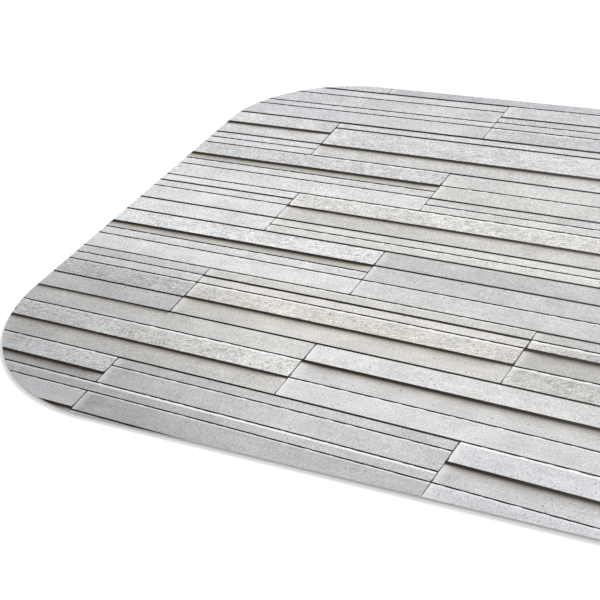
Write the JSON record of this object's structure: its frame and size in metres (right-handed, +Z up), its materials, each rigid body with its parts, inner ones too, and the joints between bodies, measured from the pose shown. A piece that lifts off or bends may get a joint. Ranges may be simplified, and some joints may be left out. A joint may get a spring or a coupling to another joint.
{
  "type": "chair mat",
  "caption": "Thin laminated floor mat for under an office chair: a rectangle with large rounded corners, a stone-slat print under a clear wear layer and an anti-slip back.",
  "frame": {"origin": "middle of the mat's underside, on the floor", "axes": "+X along the long side, +Y along the short side away from the front edge, +Z up through the layers"},
  "size_m": [1.2, 0.9, 0.0025],
  "materials": {
    "wear_layer": "clear, satin, finely embossed",
    "printed_film": "printed with stacked light grey and beige stone slats",
    "foam_core": "fine closed-cell foamed vinyl, cut edge",
    "glass_fleece": "thin bonded glass fibre fleece",
    "anti_slip_backing": "matt light grey, finely pebbled for grip"
  },
  "bodies": {
    "root": {"wear_layer": "wear_layer", "printed_film": "printed_film", "foam_core": "foam_core", "glass_fleece": "glass_fleece", "anti_slip_backing": "anti_slip_backing"}
  },
  "joints": []
}
